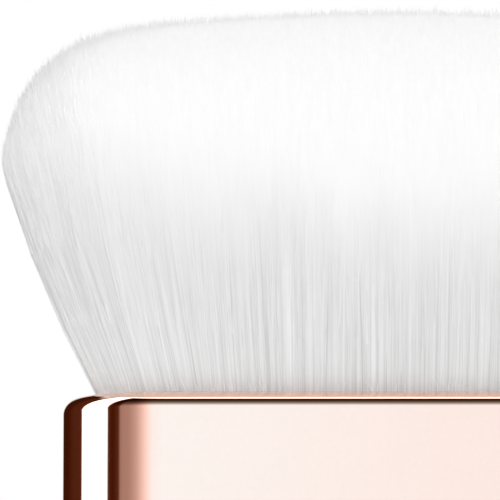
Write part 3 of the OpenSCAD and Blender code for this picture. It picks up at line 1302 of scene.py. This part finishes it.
@dataclass
class BristleHead:
    """The whole head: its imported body, the long filaments outside it and the tips above it."""

    shape: HeadShape = HeadShape()
    side_count: int = 14000
    tip_count: int = 60000
    tip_pieces: int = 4
    tries_for_each: int = 8
    most_area: float = 12.0
    stub_count: int = 320
    stub_reach: Pair = (1.0, 1.012)
    stub_height: Pair = (0.45, 1.1)
    stub_start: float = -0.1
    side_start: float = -0.15
    outer_share: float = 0.955
    outer_bias: float = 1.5
    end_margin: float = 0.995
    long_levels: tuple[float, ...] = (0.0, 0.3, 0.62, 0.9)
    short_levels: tuple[float, ...] = (0.0, 0.55)
    tip_scatter: float = 0.2
    shortest: float = 0.8
    buried: float = 0.3
    tail: float = 5.0
    seed: int = 5

    def side_lock(self, side: Side, chance: np.random.Generator) -> Lock:
        """Places the long filaments on one side of the head.

        Args:
            side: The front or the back.
            chance: The seeded source of small differences.

        Returns:
            The filaments, from the root to the tip.
        """
        root, half = self.shape.root, self.side_count // 2
        middle = 0.0 if side is Side.FRONT else root.length / 2
        spine, out = root.walk(middle + chance.uniform(-0.25, 0.25, half) * root.length)
        share = 1 - (1 - self.outer_share) * chance.uniform(0, 1, half) ** self.outer_bias
        roots = spine + out * (root.radius * share)[:, None]
        ends = self.shape.tip(roots) + chance.normal(0, self.tip_scatter, half)
        return Lock(roots, np.full(half, self.side_start), ends, self.shape.wall_normal(out))

    def tip_locks(self, body: PackedBody, chance: np.random.Generator) -> list[Lock]:
        """Places the filaments whose tips make the dome, evenly over its surface.

        Args:
            body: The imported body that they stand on.
            chance: The seeded source of small differences.

        Returns:
            The filaments of each piece, from left to right.
        """
        shape, many = self.shape, self.tip_count * self.tries_for_each
        tries = chance.uniform(-1, 1, (many, 2)) * (shape.reach, shape.root.radius)
        is_inside = np.abs(tries[:, 1]) < shape.depth(tries[:, 0]) * shape.inner_share
        tries = tries[is_inside & (np.abs(tries[:, 0]) < shape.reach * self.end_margin)]
        area = np.minimum(np.linalg.norm(shape.dome_slope(tries), axis=1), self.most_area)
        is_kept = chance.random(len(tries)) < area / area.max()
        roots = tries[is_kept][: self.tip_count]
        ends = shape.tip(roots) + chance.normal(0, self.tip_scatter, len(roots))
        tops = np.minimum(body.top(roots), ends - self.shortest)
        starts = tops - self.buried - self.tail * chance.random(len(roots))
        sides = shape.wall_normal(unit(shape.dome_normal(roots)[:, :2]))
        parts = np.array_split(np.argsort(roots[:, 0]), self.tip_pieces)
        return [Lock(roots[k], starts[k], ends[k], sides[k], is_held_at_tip=True) for k in parts]

    def stub_lock(self, chance: np.random.Generator) -> Lock:
        """Places the short loose filaments that stand at the root.

        Args:
            chance: The seeded source of small differences.

        Returns:
            The short filaments.
        """
        root, many = self.shape.root, self.stub_count
        spine, out = root.walk(chance.uniform(0, root.length, many))
        roots = spine + out * (root.radius * chance.uniform(*self.stub_reach, many))[:, None]
        heights = chance.uniform(*self.stub_height, many)
        return Lock(roots, np.full(many, self.stub_start), heights, self.shape.wall_normal(out))

    def dress(self, wardrobe: Wardrobe) -> None:
        """Builds the head in place of its CAD node and finishes it.

        The fine filaments cast no shadow and let scattered light pass, as thin pale filaments do.
        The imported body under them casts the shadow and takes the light.

        Args:
            wardrobe: Makes the materials.
        """
        chance = np.random.default_rng(self.seed)
        body = PackedBody(self.shape)
        packed = wardrobe.dress(body.build(), PACKED_FILAMENT)
        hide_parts("bristles")
        report(packed)
        long, short = np.array(self.long_levels), np.array(self.short_levels)
        fine = []
        field_of_sides = FilamentField(self.shape, stray=0.45)
        for side in Side:
            name = f"{side.name.lower()}_filaments"
            fine.append(field_of_sides.grow(name, self.side_lock(side, chance), long, chance))
        field_of_tips = FilamentField(self.shape, radius=0.048, clump=0.1, twist=0.2)
        for k, lock in enumerate(self.tip_locks(body, chance), 1):
            fine.append(field_of_tips.grow(f"tip_filaments_{k}", lock, short, chance))
        for piece in fine:
            piece.visible_shadow = False
            piece.visible_diffuse = False
            report(wardrobe.dress(piece, FINE_FILAMENT))
        field_of_stubs = FilamentField(self.shape, radius=0.055, clump=0, stray=9.0, spread=3.0)
        stubs = field_of_stubs.grow("loose_stubs", self.stub_lock(chance), short, chance)
        report(wardrobe.dress(stubs, STUB_FILAMENT))


# Studio


@dataclass(frozen=True)
class Softbox:
    """A soft lamp: its place, width and height in metres, and its power in watts."""

    name: str
    place: Triple
    width: float
    height: float
    power: float

    def build(self, aim: Vector) -> None:
        """Makes the lamp, turned to a point.

        Args:
            aim: The point, in metres.
        """
        data = bpy.data.lights.new(self.name, "AREA")
        data.shape = "RECTANGLE"
        data.size, data.size_y = self.width, self.height
        data.energy = self.power
        lamp = bpy.data.objects.new(self.name, data)
        lamp.location = self.place
        lamp.rotation_mode = "QUATERNION"
        lamp.rotation_quaternion = (aim - Vector(self.place)).to_track_quat("-Z", "Y")
        lamp.visible_glossy = False
        bpy.context.scene.collection.objects.link(lamp)
        LOG.info("%s: %.1f W", self.name, self.power)


@dataclass(frozen=True)
class Panorama:
    """The softboxes and dark flags round the brush, as polished metal reflects them.

    Each band has an angle round the brush, from 0 in front of it to 180 degrees behind it, and a
    colour. Each fade has an angle above the horizon, a level for red, and the share of that level
    for green. Blue takes the share twice over. Each pair of numbers is where a change starts and
    ends: in degrees, or as a share for roof_back.
    """

    bands: tuple[tuple[float, Colour], ...] = (
        (0.0, (0.52, 0.68, 0.775)),
        (4.0, (0.52, 0.68, 0.775)),
        (10.0, (0.523, 0.66, 0.745)),
        (15.5, (0.525, 0.645, 0.72)),
        (19.9, (0.53, 0.575, 0.61)),
        (24.4, (0.52, 0.451, 0.448)),
        (29.0, (0.422, 0.339, 0.323)),
        (33.5, (0.317, 0.244, 0.222)),
        (38.0, (0.264, 0.193, 0.17)),
        (43.0, (0.222, 0.152, 0.13)),
        (49.0, (0.213, 0.145, 0.124)),
        (52.4, (0.188, 0.122, 0.102)),
        (54.5, (0.055, 0.018, 0.01)),
        (57.0, (0.043, 0.0104, 0.004)),
        (62.0, (0.029, 0.0045, 0.0005)),
        (67.9, (0.045, 0.012, 0.005)),
        (69.7, (1.2, 1.2, 1.2)),
        (107.0, (1.2, 1.2, 1.2)),
        (108.5, (0.047, 0.0115, 0.004)),
        (125.0, (0.04, 0.0104, 0.0044)),
        (142.0, (0.025, 0.004, 0.0005)),
        (164.0, (0.016, 0.005, 0.002)),
        (169.0, (0.47, 0.46, 0.44)),
    )
    fades: tuple[Triple, ...] = (
        (12.0, 1.0, 1.0),
        (19.0, 0.7, 0.97),
        (26.0, 0.39, 0.9),
        (33.5, 0.2, 0.78),
        (41.0, 0.1, 0.65),
        (48.5, 0.035, 0.5),
        (56.0, 0.012, 0.4),
    )
    fading: Pair = (55.0, 72.0)
    warm: Colour = (1.0, 0.905, 0.885)
    warm_side: Pair = (-3.5, 1.5)
    backdrop: Colour = (0.47, 0.46, 0.43)
    backdrop_away: Pair = (112.0, 122.0)
    backdrop_rise: Pair = (46.0, 54.0)
    ceiling: Colour = (1.1, 1.1, 1.1)
    roof_rise: Pair = (61.0, 66.0)
    roof_back: Pair = (-0.02, 0.04)
    strength: float = 2.0

    def draw(self, g: Graph) -> bpy.types.NodeSocket:
        """Draws the surroundings in the world's graph.

        Args:
            g: The world's graph.

        Returns:
            The colour by direction, at half its strength.
        """
        white = (1.0, 1.0, 1.0)
        split = g.add("SeparateXYZ")
        g.join(g.add("TexCoord").outputs["Generated"], split.inputs[0])
        x, y, z = split.outputs
        turn = g.math("ARCTAN2", g.math("MULTIPLY", x, -1.0), g.math("MULTIPLY", y, -1.0))
        side = g.math("DEGREES", turn)
        away = g.math("ABSOLUTE", side)
        rise = g.math("DEGREES", g.math("ARCSINE", z))
        bands = g.ramp(g.math("DIVIDE", away, 180.0), [(a / 180, c) for a, c in self.bands])
        stops = [(a / 90, (v, v * w, v * w * w)) for a, v, w in self.fades]
        fade = g.ramp(g.math("DIVIDE", rise, 90.0), stops)
        ahead = g.remap(away, *self.fading, 1.0, 0.0)
        warm = g.mix(g.remap(side, *self.warm_side, 1.0, 0.0), white, self.warm)
        dimmed = g.mix(1.0, bands, g.mix(ahead, white, fade), "MULTIPLY")
        low = g.mix(1.0, dimmed, warm, "MULTIPLY")
        high = g.remap(rise, *self.backdrop_rise)
        behind = g.math("MULTIPLY", g.remap(away, *self.backdrop_away), high)
        lower = g.mix(behind, low, self.backdrop)
        roof = g.mix(g.remap(y, *self.roof_back), self.ceiling, self.backdrop)
        return g.mix(g.remap(rise, *self.roof_rise), lower, roof)


@dataclass
class Studio:
    """The floor, the lamps, the camera and the surroundings.

    The floor's half width, the lamps and the point that they are aimed at are in metres. The
    camera's numbers are in millimetres and degrees.
    """

    floor_half: float = 6.0
    floor_colour: Colour = (0.86, 0.86, 0.86)
    floor_roughness: float = 0.8
    floor_specular: float = 0.1
    fill: float = 0.42
    target: Triple = (-11.16, 0.0, 49.17)
    distance: float = 354.9
    elevation: float = -7.04
    lens: float = 343.5
    aim: Triple = (0.0, 0.0, 0.05)
    panorama: Panorama = Panorama()
    lamps: tuple[Softbox, ...] = (
        Softbox("overhead_softbox", (0.0, 0.1, 1.0), 0.9, 0.9, 1.5),
        Softbox("front_softbox", (0.0, -1.08, 0.25), 0.6, 0.6, 4.4),
        Softbox("left_softbox", (-1.0, -0.2, 0.55), 0.5, 0.7, 3.0),
        Softbox("right_softbox", (1.05, -0.2, 0.35), 0.5, 0.7, 3.7),
        Softbox("left_rear_softbox", (-0.8, 0.7, 0.4), 0.5, 0.7, 4.0),
        Softbox("right_rear_softbox", (0.8, 0.7, 0.4), 0.5, 0.7, 4.0),
        Softbox("back_softbox", (0.0, 1.0, 0.6), 0.9, 0.7, 1.1),
    )

    def build_floor(self) -> None:
        """Makes the plain pale floor."""
        h = self.floor_half
        mesh = bpy.data.meshes.new("floor")
        mesh.from_pydata([(-h, -h, 0), (h, -h, 0), (h, h, 0), (-h, h, 0)], [], [(0, 1, 2, 3)])
        floor = bpy.data.objects.new("floor", mesh)
        bpy.context.scene.collection.objects.link(floor)
        material = bpy.data.materials.new("pale_floor")
        material.use_nodes = True
        shader = material.node_tree.nodes["Principled BSDF"]
        shader.inputs["Base Color"].default_value = (*self.floor_colour, 1)
        shader.inputs["Roughness"].default_value = self.floor_roughness
        shader.inputs["Specular IOR Level"].default_value = self.floor_specular
        mesh.materials.append(material)
        floor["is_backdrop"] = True

    def build_world(self) -> None:
        """Makes the white background, the soft fill and what shiny surfaces reflect."""
        world = bpy.data.worlds.new("studio")
        world.use_nodes = True
        bpy.context.scene.world = world
        g = Graph(world.node_tree)
        g.tree.nodes.clear()
        seen, soft, mirrored = (g.add("Background") for _ in range(3))
        for node, strength in ((seen, 1.0), (soft, self.fill), (mirrored, self.panorama.strength)):
            node.inputs["Color"].default_value = (1, 1, 1, 1)
            node.inputs["Strength"].default_value = strength
        g.join(self.panorama.draw(g), mirrored.inputs["Color"])
        path = g.add("LightPath").outputs
        direct = g.math("MAXIMUM", path["Is Camera Ray"], path["Is Transmission Ray"])
        inner, outer = g.add("MixShader"), g.add("MixShader")
        links = (
            (path["Is Glossy Ray"], inner.inputs[0]),
            (soft.outputs[0], inner.inputs[1]),
            (mirrored.outputs[0], inner.inputs[2]),
            (direct, outer.inputs[0]),
            (inner.outputs[0], outer.inputs[1]),
            (seen.outputs[0], outer.inputs[2]),
            (outer.outputs[0], g.add("OutputWorld").inputs["Surface"]),
        )
        for source, target in links:
            g.join(source, target)

    def build_camera(self) -> None:
        """Makes the camera at the photograph's angle."""
        data = bpy.data.cameras.new("camera")
        data.lens = self.lens
        data.clip_start, data.clip_end = 0.01, 100.0
        camera = bpy.data.objects.new("camera", data)
        tilt = math.radians(self.elevation)
        back = Vector((0, -math.cos(tilt), math.sin(tilt)))
        camera.location = (Vector(self.target) + back * self.distance) * MM
        camera.rotation_mode = "QUATERNION"
        camera.rotation_quaternion = (-back).to_track_quat("-Z", "Y")
        bpy.context.scene.collection.objects.link(camera)
        bpy.context.scene.camera = camera

    def build(self) -> None:
        """Builds the whole studio."""
        self.build_floor()
        self.build_world()
        for lamp in self.lamps:
            lamp.build(Vector(self.aim))
        self.build_camera()
        bpy.context.scene.view_settings.view_transform = "Standard"


def save_sizes() -> None:
    """Gathers the CAD box and the dressed brush's box as lists of corners."""
    boxes = {"cad": CAD_BOX, "visual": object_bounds()}
    sizes = {name: [list(corner) for corner in box] for name, box in boxes.items()}


def main() -> None:
    """Builds the brush and its studio, and reports each piece."""
    logging.basicConfig(level=logging.INFO, format="%(message)s")
    wardrobe = Wardrobe(EffectLibrary())
    PolishedShell().dress(wardrobe)
    HandleInside().dress(wardrobe)
    BristleHead().dress(wardrobe)
    Studio().build()
    save_sizes()


if __name__ == "__main__":
    main()
